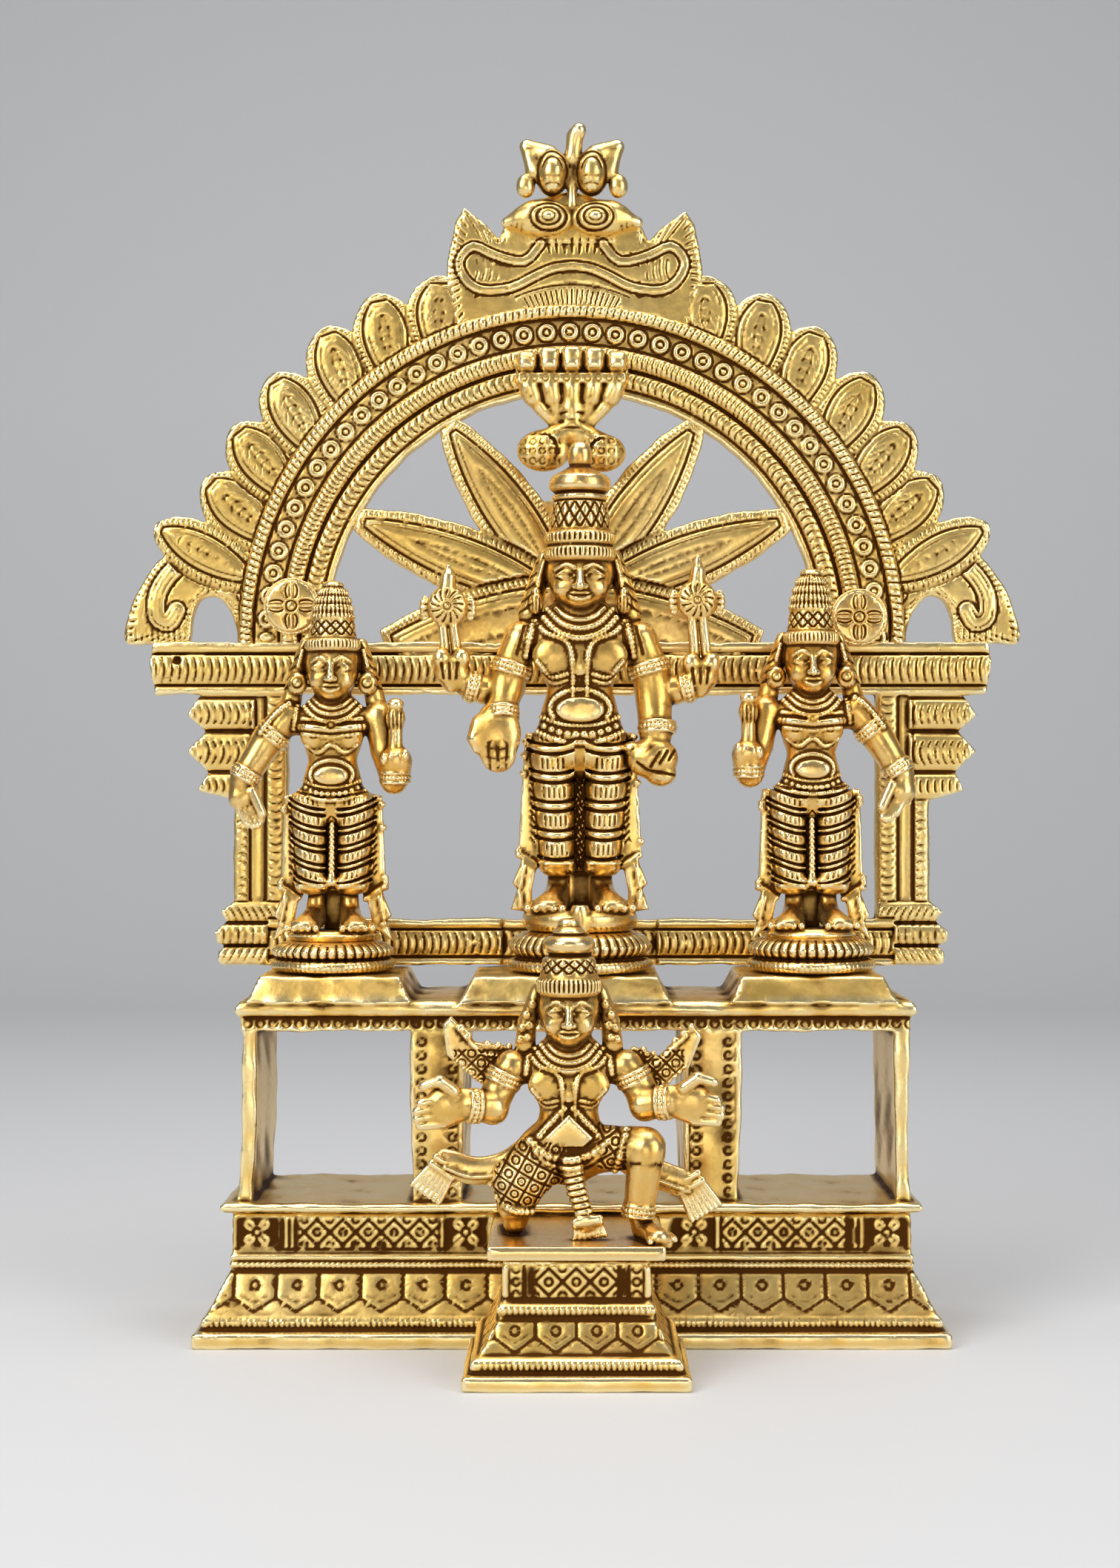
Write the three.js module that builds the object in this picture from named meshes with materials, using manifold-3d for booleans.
// Brass shrine group: a standing four-armed figure and two smaller figures on lotus pedestals,
// a kneeling attendant on the front step, an open stepped stand, and a lift-out arch behind them.
// Millimetres, +Z up, +X to the viewer's right, the front faces -Y.
// The origin is at the middle of the underside.

import * as THREE from 'three';
import { mergeVertices } from 'three/addons/utils/BufferGeometryUtils.js';
import Module from 'manifold-3d';

const wasm = await Module();
wasm.setup();

// ---- Driving dimensions ----

const GAP = 0.3;                    // clearance between pieces that touch

const BASE_FRONT = -8;              // front of the base's foot
const BASE_BACK = 50;
const BASE_HALF = 91;               // half the width of the foot
const WALL = 3.2;                   // casting thickness around the hollow underside
const FRIEZE_TOP = 31.2;

const STEP_FRONT = -50;
const STEP_HALF = 25.6;
const STEP_TOP = 27.4;

const FLOOR_BOTTOM = FRIEZE_TOP + GAP;
const FLOOR_TOP = 33.9;
const FLOOR_HALF = 85;
const LEG_FRONT = 1;
const LEG_BACK = 43;
const WINDOW_TOP = 75.3;
const SLAB_TOP = 82.7;
const PLINTH_TOP = 88.4;
const WINDOWS = [[-76.5, -39.2], [-26, 27], [41, 78.3]];
const PLINTHS = [[-78, -40], [-26, 23], [39.5, 78]];

const FIGURE_Y = 18;                // middle of the three standing figures
const CENTRE_X = 2;
const SIDE_X = 59.6;
const PIN_RADIUS = 2;

const ARCH_FRONT = 37;              // front face of the arch's plate
const ARCH_BACK = 41;
const RIB_FRONT = 35.4;
const ARCH_BOTTOM = PLINTH_TOP + GAP;
const ARCH_CENTRE_Z = 173;
const ARCH_INNER = 63.2;
const ARCH_OUTER = 85.5;
const PILLARS = [[-87, -73], [78, 92]];
const CROSSBAR = { half: 108, bottom: 158.2, top: 171.8 };
const RAIL_TOP = 100.6;
const LUG = { half: 4, depth: 2.6, length: 11 };
const LUG_X = [-60, 60];

const MASK_Z = 280;                 // eye level of the lion mask
const ATTENDANT_Y = -24;

// ---- Materials ----

function brass(color, roughness) {
  return new THREE.MeshStandardMaterial({ color, roughness, metalness: 1 });
}

const PALE_BRASS = brass(0xd9b765, 0.34);
const WARM_BRASS = brass(0xcfa250, 0.38);
const PIN_BRASS = brass(0xc09a4e, 0.45);

// ---- Solids ----

// A manifold from a closed three.js geometry, with its shared vertices merged.
function solid(geometry) {
  const bare = geometry.clone();
  bare.deleteAttribute('normal');
  bare.deleteAttribute('uv');
  const merged = mergeVertices(bare, 1e-4);
  const index = merged.index.array;
  const triangles = [];
  for (let i = 0; i < index.length; i += 3) {
    const [a, b, c] = [index[i], index[i + 1], index[i + 2]];
    if (a !== b && b !== c && c !== a) triangles.push(a, b, c);
  }
  return new wasm.Manifold(new wasm.Mesh({
    numProp: 3,
    vertProperties: Float32Array.from(merged.attributes.position.array),
    triVerts: Uint32Array.from(triangles),
  }));
}

function join(parts) {
  return parts.reduce((whole, part) => whole.add(part));
}

function box(x0, x1, y0, y1, z0, z1) {
  const geometry = new THREE.BoxGeometry(x1 - x0, y1 - y0, z1 - z0);
  return solid(geometry.translate((x0 + x1) / 2, (y0 + y1) / 2, (z0 + z1) / 2));
}

// A plate whose outline lies in the X-Z plane, from y0 (front) to y1 (back).
function plate(outline, y0, y1, curveSegments = 8) {
  const shape = outline instanceof THREE.Shape ? outline : polygon(outline);
  const settings = { depth: y1 - y0, bevelEnabled: false, curveSegments };
  return solid(new THREE.ExtrudeGeometry(shape, settings).rotateX(Math.PI / 2).translate(0, y1, 0));
}

function polygon(points) {
  return new THREE.Shape(points.map(([x, z]) => new THREE.Vector2(x, z)));
}

// A solid of revolution about a vertical axis at (x, y); the profile is [radius, z] from the bottom up.
function turned(profile, x, y, sides = 16) {
  const points = profile.map(([radius, z]) => new THREE.Vector2(radius, z));
  return solid(new THREE.LatheGeometry(points, sides).rotateX(Math.PI / 2).translate(x, y, 0));
}

// A rectangular moulding with mitred corners; the profile is [inset, z] from the bottom up.
function moulding(profile, x0, x1, y0, y1) {
  const along = (low, high) => [
    ...profile.map(([inset, z]) => [low + inset, z]),
    ...profile.map(([inset, z]) => [high - inset, z]).reverse(),
  ];
  const acrossX = plate(along(x0, x1), y0, y1);
  const settings = { depth: x1 - x0, bevelEnabled: false };
  const side = new THREE.ExtrudeGeometry(polygon(along(y0, y1)), settings);
  const acrossY = solid(side.rotateX(Math.PI / 2).rotateZ(Math.PI / 2).translate(x0, 0, 0));
  return acrossX.intersect(acrossY);
}

function ball(centre, radii, sides = 7, rings = 4) {
  const geometry = new THREE.SphereGeometry(1, sides, rings).rotateX(Math.PI / 2);
  return solid(geometry.scale(...radii).translate(...centre));
}

// A rounded limb through points [x, y, z, radius].
function limb(points, sides = 6) {
  const up = new THREE.Vector3(0, 1, 0);
  const parts = [];
  for (let i = 1; i < points.length; i += 1) {
    const [x0, y0, z0, r0] = points[i - 1];
    const [x1, y1, z1, r1] = points[i];
    const along = new THREE.Vector3(x1 - x0, y1 - y0, z1 - z0);
    const length = along.length();
    const profile = [
      [0, -r0], [0.8 * r0, -0.6 * r0], [r0, 0], [r1, length], [0.8 * r1, length + 0.6 * r1], [0, length + r1],
    ];
    const geometry = new THREE.LatheGeometry(profile.map((point) => new THREE.Vector2(...point)), sides);
    const turn = new THREE.Quaternion().setFromUnitVectors(up, along.normalize());
    parts.push(solid(geometry.applyQuaternion(turn).translate(x0, y0, z0)));
  }
  return join(parts);
}

function mirrored(part) {
  return part.mirror([1, 0, 0]);
}

function piece(name, whole, material) {
  const { vertProperties, triVerts } = whole.getMesh();
  const geometry = new THREE.BufferGeometry();
  geometry.setAttribute('position', new THREE.BufferAttribute(vertProperties, 3));
  geometry.setIndex(new THREE.BufferAttribute(triVerts, 1));
  geometry.computeVertexNormals();
  const mesh = new THREE.Mesh(geometry, material);
  mesh.name = name;
  return mesh;
}

// ---- Stepped base and front step ----

const BASE_PROFILE = [
  [0, 0], [0, 3.8], [2.4, 4.2], [2.4, 7.4], [3.2, 7.8], [8.2, 17.8],
  [7.4, 18.2], [7.4, 21.4], [8.4, 21.8], [8.4, FRIEZE_TOP],
];

const STEP_PROFILE = [
  [0, 0], [0, 3.4], [2.2, 3.8], [2.2, 7], [3.8, 7.4], [8, 15.2],
  [7.4, 15.4], [7.4, 18], [8.8, 18.4], [8.8, STEP_TOP],
];

// The base's outline grown by the clearance and run on below the floor, to cut the step with.
function baseCutter() {
  const grown = BASE_PROFILE.slice(1).map(([inset, z]) => [inset - GAP, z]);
  return moulding([[-GAP, -1], ...grown], -BASE_HALF, BASE_HALF, BASE_FRONT, BASE_BACK);
}

function basePlinth() {
  const body = moulding(BASE_PROFILE, -BASE_HALF, BASE_HALF, BASE_FRONT, BASE_BACK);
  const inset = 8.4 + WALL;
  const hollow = box(-BASE_HALF + inset, BASE_HALF - inset, BASE_FRONT + inset, BASE_BACK - inset,
    -1, FRIEZE_TOP - WALL);
  return body.subtract(hollow);
}

function frontStep() {
  const reach = BASE_FRONT + 30;
  const body = moulding(STEP_PROFILE, 1 - STEP_HALF, 1 + STEP_HALF, STEP_FRONT, reach);
  const inset = 8.8 + WALL;
  const hollow = box(1 - STEP_HALF + inset, 1 + STEP_HALF - inset, STEP_FRONT + inset, BASE_FRONT - 5,
    -1, STEP_TOP - WALL);
  const screwHole = turned([[0, 0], [1.8, 0], [1.8, 40], [0, 40]], 1, ATTENDANT_Y, 12);
  return body.subtract(baseCutter()).subtract(hollow).subtract(screwHole);
}

// ---- Open stand: floor, legs, posts, top slab and the three plinths ----

const FLOOR_PROFILE = [[0.6, FLOOR_BOTTOM], [0, FLOOR_BOTTOM + 0.6], [0, 33.3], [0.6, FLOOR_TOP]];
const SLAB_PROFILE = [
  [1.2, WINDOW_TOP], [1.2, 78.6], [0.4, 79], [0, 80.6], [0.8, 82.4], [1.4, SLAB_TOP],
];

function stand() {
  const outline = [
    [-81.3, FLOOR_TOP - 1], [-80.6, 50], [-79.9, 65], [-79.9, WINDOW_TOP + 1],
    [82.4, WINDOW_TOP + 1], [81.6, 65], [81.9, 50], [82.4, FLOOR_TOP - 1],
  ];
  let frame = plate(outline, LEG_FRONT, LEG_BACK);
  for (const [left, right] of WINDOWS) {
    frame = frame.subtract(box(left, right, LEG_FRONT - 1, LEG_BACK + 1, FLOOR_TOP, WINDOW_TOP));
  }
  const parts = [
    frame,
    moulding(FLOOR_PROFILE, -FLOOR_HALF, FLOOR_HALF, -2, 44),
    moulding(SLAB_PROFILE, -81.8, 83.8, 0, 44),
  ];
  for (const [left, right] of PLINTHS) {
    const slope = [[0, SLAB_TOP - 1], [0, 83.4], [1.6, PLINTH_TOP]];
    parts.push(moulding(slope, left, right, 1, 43.4));
  }
  let whole = join(parts);
  for (const x of LUG_X) {
    whole = whole.subtract(lug(x, GAP, PLINTH_TOP + 1));
  }
  for (const x of [-SIDE_X, CENTRE_X, SIDE_X]) {
    whole = whole.subtract(pin(x, PIN_RADIUS + GAP, WINDOW_TOP - 1, PLINTH_TOP + 1));
  }
  return whole;
}

function lug(x, clearance, top) {
  const middle = (ARCH_FRONT + ARCH_BACK) / 2;
  const half = LUG.half + clearance;
  const thick = LUG.depth / 2 + clearance;
  return box(x - half, x + half, middle - thick, middle + thick,
    ARCH_BOTTOM - LUG.length - clearance, top);
}

function pin(x, radius, bottom, top) {
  return turned([[0, bottom], [radius, bottom], [radius, top], [0, top]], x, FIGURE_Y, 12);
}

function fixingPin(x) {
  return pin(x, PIN_RADIUS, WINDOW_TOP + GAP, PLINTH_TOP + 5);
}

function attendantScrew() {
  const head = STEP_TOP - WALL - GAP;
  const profile = [
    [0, head - 2], [3, head - 2], [3, head], [1.5, head], [1.5, STEP_TOP + 2.4], [0, STEP_TOP + 2.4],
  ];
  return turned(profile, 1, ATTENDANT_Y, 12);
}

// ---- Lotus pedestals ----

function lotus(x, radius, top) {
  const bottom = PLINTH_TOP + GAP;
  const waist = (bottom + top) / 2 - 0.6;
  const profile = [
    [0, bottom], [radius * 0.92, bottom], [radius * 0.95, bottom + 1.6], [radius * 0.86, waist - 1],
    [radius * 0.97, waist + 0.6], [radius, waist + 2.2], [radius * 0.86, top - 0.8], [radius * 0.74, top],
    [0, top],
  ];
  const socket = pin(x, PIN_RADIUS + GAP, bottom - 1, PLINTH_TOP + 5 + GAP);
  return turned(profile, x, FIGURE_Y, 16).subtract(socket);
}

// ---- Standing figures ----

function disc(x, radius, bottom, top) {
  const edge = (top - bottom) / 3;
  const profile = [
    [0, bottom], [radius - edge / 2, bottom], [radius, bottom + edge], [radius, top - edge],
    [radius - edge, top], [0, top],
  ];
  return turned(profile, x, FIGURE_Y, 16);
}

// Torso, legs, head and crown of a standing figure; sizes are fractions of a figure of height 100
// measured from the feet to the top of the crown, and at() maps them to the object.
function standingBody(x, feet, height, crown) {
  const s = height / 100;
  const at = (u, v, w) => [x + u * s, FIGURE_Y + v * s, feet + w * s];
  const size = (...values) => values.map((value) => value * s);
  const joint = (u, v, w, radius) => [...at(u, v, w), radius * s];
  const parts = [
    ball(at(0, 0, 71.5), size(7.1, 7.2, 8.6), 8, 5),
    ball(at(0, -0.5, 57.5), size(10.8, 7, 7.8)),
    ball(at(0, 0, 48.5), size(6.6, 5.6, 9)),
    ball(at(0, -0.6, 44), size(7.4, 6.4, 6)),
    ball(at(0, 0, 38), size(10, 7.2, 6.6)),
    limb([joint(-11.5, 0, 59.5, 4.4), joint(11.5, 0, 59.5, 4.4)]),
    limb([joint(0, 0, 58, 4.6), joint(0, 0, 68, 4.4)]),
    turned(crown.map(([radius, w]) => [radius * s, feet + w * s]), x, FIGURE_Y, 8),
  ];
  for (const side of [-1, 1]) {
    parts.push(
      limb([joint(5.2 * side, 0, 36, 6), joint(5.6 * side, -0.4, 24, 5.4), joint(6 * side, 0, 9.5, 4.6)]),
      limb([joint(5.8 * side, 0.6, 9, 2.9), joint(5.8 * side, 0.6, 1.6, 2.8)]),
      ball(at(6.2 * side, -3.6, 1.4), size(3.5, 6, 2.2)),
      ball(at(8.2 * side, 1, 68), size(2.2, 2.6, 3.2)),
    );
  }
  return join(parts);
}

const TALL_CROWN = [
  [0, 72], [7.6, 75], [7.6, 80.5], [6.2, 81], [6.5, 84], [6, 87], [6.5, 87.6], [6.5, 90.2], [5, 90.8],
  [5.6, 91.6], [5.6, 93.4], [2.4, 94.6], [2.8, 97], [1.6, 99.2], [0, 100],
];

const RINGED_CROWN = [
  [0, 74], [7.4, 79], [7.4, 83], [6.2, 83.6], [6, 88.5], [5.4, 89], [4.8, 93], [4, 93.6], [3.4, 97.5],
  [2.2, 99.6], [0, 100],
];

const CENTRE_FEET = 103.2;
const CENTRE_HEIGHT = 117.3;

function centreFigure() {
  const y = FIGURE_Y;
  const x = CENTRE_X;
  const feet = 98.9;
  const parts = [
    disc(x, 14.4, feet, 104.4),
    standingBody(x, CENTRE_FEET, CENTRE_HEIGHT, TALL_CROWN),
    limb([[x - 16, y, 172, 4.6], [x - 19, y, 157, 4], [x - 20.8, y - 9, 149.5, 2.8]]),
    ball([x - 20.8, y - 10.5, 146], [5.6, 2.6, 8]),
    limb([[x + 16, y, 172, 4.6], [x + 19.5, y, 156, 4], [x + 18, y - 9, 143, 3]]),
    ball([x + 17.8, y - 11, 141], [6.6, 4.4, 5.4]),
    box(x - 10, x + 10, y + 3, y + 6, 104, 150),
  ];
  for (const side of [-1, 1]) {
    const sash = [[12, 150], [16.6, 117], [13, 110], [15.5, 104], [10.5, 103.5], [9, 118], [8, 150]];
    const outline = sash.map(([u, z]) => [x + u * side, z]);
    parts.push(plate(outline, y + 2.4, y + 5.6));
  }
  const trim = (side) => box(...[x + side * 22.6, x + side * 30].sort((a, b) => a - b), y - 3, y + 12, 153, 167);
  return join(parts).subtract(trim(-1)).subtract(trim(1));
}

// A rear arm with its raised emblem; side is -1 for the discus and +1 for the conch disc.
function rearArm(side, emblemZ, handX) {
  const y = FIGURE_Y + 2;
  const x = (u) => CENTRE_X + side * u;
  const arm = join([
    limb([[x(23), y, 159.6, 3.2], [x(27), y, 158.6, 3.1], [x(handX), y - 1, 164.7, 3.2]]),
    limb([[x(handX), y - 2, 165, 2], [x(handX - 0.6), y - 2, emblemZ, 1.5]]),
    limb([[x(handX), y - 2, emblemZ, 1.6], [x(handX), y - 2, emblemZ + 10.6, 0.8]]),
    ball([x(handX), y - 2, emblemZ], [5.2, 2.6, 5.2]),
  ]);
  const inner = box(...[x(10), x(22.9)].sort((a, b) => a - b), y - 8, y + 8, 150, 172);
  return arm.subtract(inner);
}

// A smaller figure; side is -1 on the viewer's left. The outer arm hangs, the inner arm holds a bud.
function sideFigure(side, feet, height) {
  const x = side * SIDE_X;
  const y = FIGURE_Y;
  const s = height / 88;
  const at = (u, v, w, radius) => [x + side * u * s, y + v * s, feet + w * s, radius * s];
  const spot = (u, v, w) => at(u, v, w, 1).slice(0, 3);
  const robe = [[-9, 40], [10, 40], [11.5, 30], [12, 12], [-10, 12], [-10.5, 30]];
  const outline = robe.map(([u, w]) => [x + side * u * s, feet + w * s]);
  return join([
    disc(x, 11.6, feet - 2.7, feet + 0.8),
    standingBody(x, feet, height, RINGED_CROWN),
    limb([at(11, 0, 53, 3.4), at(15, 0, 44, 2.9), at(21.5, -3, 37, 2.2), at(19.5, -4.5, 28, 2)]),
    ball(spot(19, -4.5, 27.5), [2.4 * s, 2.2 * s, 4.4 * s]),
    limb([at(-11, 0, 53, 3.4), at(-16, -1, 37, 2.8), at(-17, -8, 43, 2.4)]),
    limb([at(-17, -8.5, 38, 3), at(-17.6, -9, 55, 2.2)]),
    plate(outline, y + 2.5 * s, y + 5.6 * s),
  ]);
}

// ---- Kneeling attendant on its platform ----

function attendant() {
  const y = ATTENDANT_Y;
  const plateBottom = STEP_TOP + GAP;
  const arm = (side) => join([
    limb([[-15 * side, y, 70, 4.2], [-17 * side, y - 1, 60, 3.5], [-24.5 * side, y - 7, 61.5, 2.7]]),
    ball([-29 * side, y - 9, 62.5], [6.4, 2.8, 6]),
  ]);
  const wing = plate([[-4, 62], [-4, 74], [-14, 80], [-29.5, 84], [-27, 76], [-29, 72], [-20, 68]], y + 4, y + 7.4);
  const screwHole = turned([[0, 20], [1.8, 20], [1.8, plateBottom + 2.6], [0, plateBottom + 2.6]], 1, y, 12);
  return join([
    moulding([[0.8, plateBottom], [0, plateBottom + 0.8], [0, 30.4], [0.8, 31]], -19.2, 21.2, -42.4, -0.6),
    turned([
      [0, 80], [8.6, 85], [8.8, 90.5], [7.4, 91], [7, 96], [5, 96.4], [6.3, 97.4], [6.3, 99], [3, 100],
      [3.2, 102], [0, 104],
    ], -0.7, y, 16),
    ball([-0.7, y, 82], [7.4, 7.4, 8.4], 8, 5),
    ball([-0.7, y, 67], [12, 7.6, 8.6]),
    limb([[-13, y, 71, 4.8], [12, y, 71, 4.8]]),
    ball([-0.7, y, 59], [7, 6.2, 8]),
    ball([-0.7, y - 0.5, 52], [9.6, 8, 6]),
    limb([[-0.7, y, 66, 4.6], [-0.7, y, 78, 4.4]]),
    arm(1),
    mirrored(arm(1)),
    limb([[-5, y, 50, 6.2], [-12.6, y - 8, 37, 4.8], [-13, y + 8, 34, 3.2]]),
    limb([[5, y, 50, 6], [18, y - 9, 50.5, 4.6], [16, y - 9, 34, 3]]),
    ball([18, y - 12, 32.4], [4, 6.6, 2.6]),
    ball([-12.6, y - 8, 34], [4, 4, 4]),
    limb([[2.5, y - 7, 48, 2.4], [4, y - 11, 32, 3]]),
    wing,
    mirrored(wing),
    plate([[-33.5, 41], [-35, 48], [-16, 52], [-4, 56], [-4, 48], [-12, 46]], y + 2, y + 5.6),
    plate([[4, 48], [4, 56], [16, 52], [32.5, 46.5], [31, 36.5], [12, 46]], y + 2, y + 5.6),
    box(-8, 8, y + 2, y + 7, 30.6, 56),
  ]).subtract(screwHole);
}

// ---- Arch ----

function halfRing(inner, outer, front, back, segments = 24) {
  const shape = new THREE.Shape();
  shape.absarc(0, ARCH_CENTRE_Z, outer, -0.04, Math.PI + 0.04, false);
  shape.absarc(0, ARCH_CENTRE_Z, inner, Math.PI + 0.04, -0.04, true);
  return plate(shape, front, back, segments);
}

// A leaf on the arch's edge, its middle at `degrees` and its tip at `tip` from the arch's centre.
function edgeLeaf(degrees, tip, halfWidth, inset) {
  const shape = new THREE.Shape();
  shape.moveTo(ARCH_OUTER - 3, -halfWidth);
  shape.quadraticCurveTo(tip - 4, -halfWidth, tip, 0);
  shape.quadraticCurveTo(tip - 2, halfWidth * 0.8, ARCH_OUTER - 3, halfWidth);
  const settings = { depth: ARCH_BACK - ARCH_FRONT - 2 * inset, bevelEnabled: false, curveSegments: 3 };
  const geometry = new THREE.ExtrudeGeometry(shape, settings).rotateZ(THREE.MathUtils.degToRad(degrees));
  return solid(geometry.rotateX(Math.PI / 2).translate(0, ARCH_BACK - inset, ARCH_CENTRE_Z));
}

function edgeLeaves() {
  const leaves = [110, 119.4, 128.5, 138.7, 147.9, 156.6].map(
    (degrees, index) => edgeLeaf(degrees, 101.5, 8.4, index % 2 ? 0.3 : 0.4),
  );
  return join([...leaves, edgeLeaf(164, 107.5, 10, 0.5)]);
}

function endScroll() {
  const shape = new THREE.Shape();
  shape.moveTo(-82, 168);
  shape.lineTo(-82, 198);
  shape.splineThru([[-94, 200], [-104, 197], [-111.5, 189], [-115, 171.8]].map((p) => new THREE.Vector2(...p)));
  shape.splineThru([[-108, 174.5], [-102.5, 181], [-97, 184], [-91, 181], [-87, 171]]
    .map((p) => new THREE.Vector2(...p)));
  return plate(shape, ARCH_FRONT + 0.2, ARCH_BACK - 0.2, 6);
}

// A leaf-shaped ray from behind the head to a tip on the arch's inner edge.
function ray(tipX, tipZ, halfWidth, slot) {
  const root = new THREE.Vector2(0, 184);
  const along = new THREE.Vector2(tipX, tipZ).sub(root);
  const across = new THREE.Vector2(-along.y, along.x).normalize();
  const point = (fraction, side) => root.clone().addScaledVector(along, fraction)
    .addScaledVector(across, side * halfWidth);
  const shape = new THREE.Shape([
    point(0, -0.9), point(0.3, -1), point(0.55, -0.95), point(0.8, -0.55), point(1.03, -0.2),
    point(1.03, 0.2), point(0.8, 0.55), point(0.55, 0.95), point(0.3, 1), point(0, 0.9),
  ]);
  return plate(shape, ARCH_FRONT + 0.5, ARCH_BACK - 1 - slot * 0.1);
}

function pillar(left, right, outward) {
  const outer = outward < 0 ? left : right;
  const parts = [box(left, right, ARCH_FRONT - 0.2, ARCH_BACK - 0.1, ARCH_BOTTOM, CROSSBAR.bottom + 1)];
  const tiers = [[13, 158.8, 150.6], [11.6, 151, 143], [9.6, 143.4, 135.4]];
  for (const [tier, [reach, top, bottom]] of tiers.entries()) {
    const leaf = [
      [outer - outward * 3, top], [outer + outward * reach * 0.8, top - 0.6], [outer + outward * reach, top - 5.4],
      [outer + outward * reach * 0.4, bottom + 0.6], [outer - outward * 3, bottom],
    ];
    parts.push(plate(leaf, ARCH_FRONT + 0.1 * tier, ARCH_BACK - 0.2 - 0.1 * tier));
  }
  const feet = [[3.6, ARCH_BOTTOM + 0.1, 94.4], [4.4, 94, 99.6], [3, 99.2, 104.6]];
  for (const [tier, [reach, bottom, top]] of feet.entries()) {
    const sides = [outer - outward * 4, outer + outward * reach].sort((a, b) => a - b);
    parts.push(box(...sides, RIB_FRONT + 0.8 + 0.1 * tier, ARCH_BACK - 0.2 - 0.1 * tier, bottom, top));
  }
  return join(parts);
}

function crestPlate() {
  const half = [[0, 250], [-30, 250], [-32.5, 256], [-31.5, 266], [-28, 283.5], [-21, 278], [-14, 286], [0, 288]];
  const other = half.slice(1, -1).map(([x, z]) => [-x * 1.04, z - 0.6]).reverse();
  return plate([...half, ...other], ARCH_FRONT + 0.15, ARCH_BACK - 0.15);
}

function archFrame() {
  const parts = [
    halfRing(ARCH_INNER, ARCH_OUTER, ARCH_FRONT, ARCH_BACK),
    halfRing(70.5, 74.9, RIB_FRONT, ARCH_FRONT + 0.5),
    halfRing(82, ARCH_OUTER - 0.4, RIB_FRONT, ARCH_FRONT + 0.5),
    box(-CROSSBAR.half, CROSSBAR.half - 1, ARCH_FRONT - 0.3, ARCH_BACK + 0.1, CROSSBAR.bottom, CROSSBAR.top),
    box(0.4 - CROSSBAR.half, CROSSBAR.half - 1.4, RIB_FRONT + 0.1, ARCH_FRONT + 0.5, 160.4, 169.6),
    box(PILLARS[0][0] + 0.3, PILLARS[1][1] - 0.3, ARCH_FRONT + 0.1, ARCH_BACK - 0.2, ARCH_BOTTOM + 0.1, RAIL_TOP),
    crestPlate(),
    edgeLeaves(),
    mirrored(edgeLeaves()),
    endScroll(),
    mirrored(endScroll()),
    pillar(...PILLARS[0], -1),
    pillar(...PILLARS[1], 1),
    plate([[-9, 172], [9, 172], [13, 184], [9, 200], [6, 214], [12, 226], [8, 238], [-8, 238], [-12, 226],
      [-6, 214], [-9, 200], [-13, 184]], ARCH_FRONT + 0.3, ARCH_BACK - 0.4),
  ];
  const rays = [[-32, 227.5, 6.6], [-55, 204.4, 7.4], [-46, 170, 8.5], [32, 226.5, 6.6], [57.6, 205.8, 7.4],
    [50, 170, 8.5]];
  for (const [slot, [tipX, tipZ, halfWidth]] of rays.entries()) {
    parts.push(ray(tipX, tipZ, halfWidth, slot));
  }
  for (const x of LUG_X) {
    parts.push(lug(x, 0, ARCH_BOTTOM + 2));
  }
  return join(parts);
}

function rosette(x, z) {
  const profile = [[0, 0], [7.3, 0], [7.3, 0.8], [6.2, 1.6], [2.2, 1.6], [1.6, 2.2], [0, 2.4]];
  const points = profile.map(([radius, out]) => new THREE.Vector2(radius, out));
  const geometry = new THREE.LatheGeometry(points, 20).rotateX(Math.PI);
  const turnedFront = geometry.translate(x, RIB_FRONT - GAP, z);
  return solid(turnedFront);
}

// ---- Serpent hood and lion mask ----

function serpentHood() {
  const back = RIB_FRONT - GAP;
  const hood = [[-4, 222], [-5, 230], [-10, 234.5], [-13.3, 238], [-13.8, 243], [-11, 246], [11, 246], [13.8, 243],
    [13.3, 238], [10, 234.5], [5, 230], [4, 222]];
  const parts = [plate(hood, back - 3, back)];
  for (let head = -2; head <= 2; head += 1) {
    parts.push(ball([head * 5.2, back - 3, 243.6 - Math.abs(head) * 0.6], [2.9, 3, 3.4]));
  }
  parts.push(
    limb([[-11, back - 3, 218, 2.9], [-7, back - 3, 222.4, 2.9], [0, back - 3, 223, 2.9]]),
    limb([[11, back - 3, 218, 2.9], [8, back - 3, 222, 2.9], [0, back - 3, 223, 2.9]]),
  );
  const bed = box(-40, 40, back, back + 10, 200, 260);
  return join(parts).subtract(bed);
}

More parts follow.
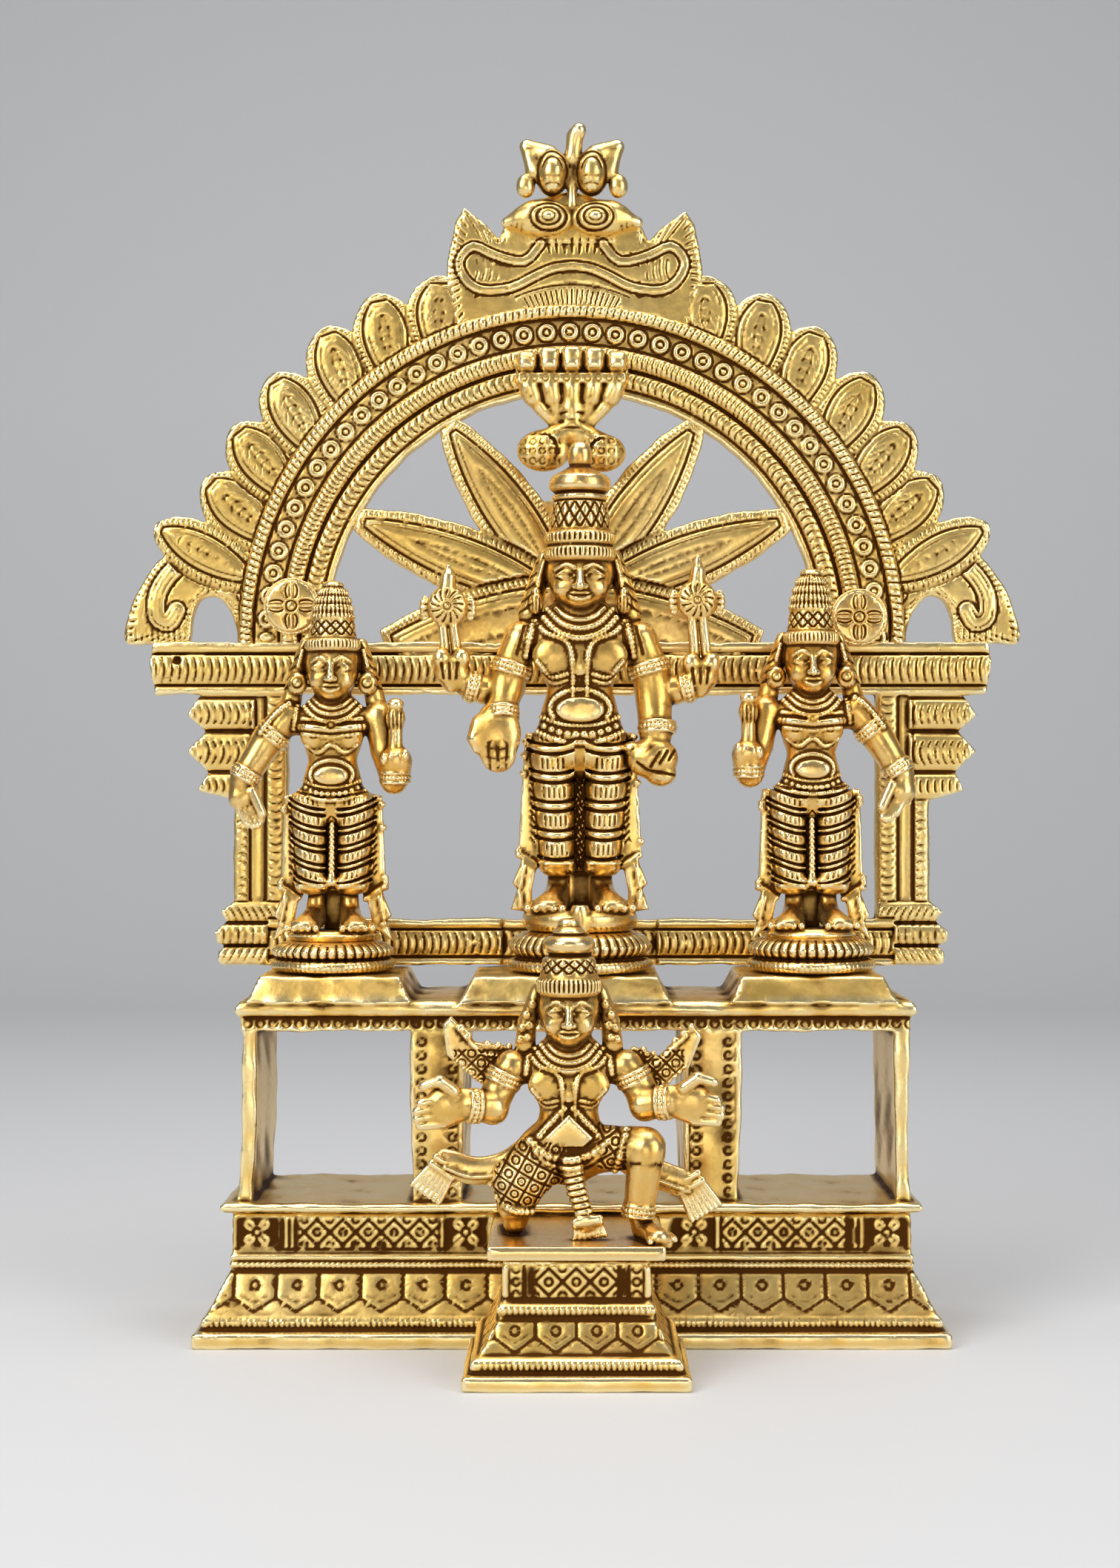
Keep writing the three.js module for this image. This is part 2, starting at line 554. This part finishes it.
function lionMask() {
  const back = ARCH_FRONT - GAP;
  const half = () => join([
    ball([-7.6, back - 3, MASK_Z], [6.6, 3.6, 5]),
    limb([[-8, back - 2.4, MASK_Z + 1, 3.4], [-17.6, back - 2, MASK_Z + 0.4, 1.8]]),
    ball([-5.6, back - 2.6, 291.5], [4.8, 3.6, 6.4]),
    ball([-11, back - 2, 289], [3.2, 2.6, 3.4]),
    limb([[-5, back - 2, 295, 3], [-11.4, back - 1.6, 299.6, 1.3]]),
  ]);
  const finial = limb([[0, back - 1.4, MASK_Z, 3.2], [0.6, back - 1.8, 298, 2.2], [1.6, back - 2.4, 303, 1.5]]);
  const bed = box(-40, 40, back, back + 10, 260, 310);
  const whole = join([half(), mirrored(half()), finial, ball([0, back - 2.4, MASK_Z - 3], [5, 3, 5])]);
  return whole.subtract(bed);
}

// ---- The object ----

const shrine = new THREE.Group();

shrine.add(
  piece('base_plinth', basePlinth(), PALE_BRASS),
  piece('front_step', frontStep(), PALE_BRASS),
  piece('open_stand', stand(), PALE_BRASS),
  piece('kneeling_attendant', attendant(), WARM_BRASS),
  piece('attendant_screw', attendantScrew(), PIN_BRASS),
  piece('left_lotus', lotus(-SIDE_X, 15.3, 96.3), WARM_BRASS),
  piece('centre_lotus', lotus(CENTRE_X, 18, 98.6), WARM_BRASS),
  piece('right_lotus', lotus(SIDE_X, 15.8, 97.3), WARM_BRASS),
  piece('left_pin', fixingPin(-SIDE_X), PIN_BRASS),
  piece('centre_pin', fixingPin(CENTRE_X), PIN_BRASS),
  piece('right_pin', fixingPin(SIDE_X), PIN_BRASS),
  piece('centre_figure', centreFigure(), WARM_BRASS),
  piece('left_rear_arm', rearArm(-1, 179.5, 33), WARM_BRASS),
  piece('right_rear_arm', rearArm(1, 181, 29), WARM_BRASS),
  piece('left_figure', sideFigure(-1, 99.4, 87), WARM_BRASS),
  piece('right_figure', sideFigure(1, 100.4, 89), WARM_BRASS),
  piece('arch_frame', archFrame(), PALE_BRASS),
  piece('left_rosette', rosette(-71.8, 180.8), WARM_BRASS),
  piece('right_rosette', rosette(73.5, 178), WARM_BRASS),
  piece('serpent_hood', serpentHood(), PALE_BRASS),
  piece('lion_mask', lionMask(), PALE_BRASS),
);

export default shrine;
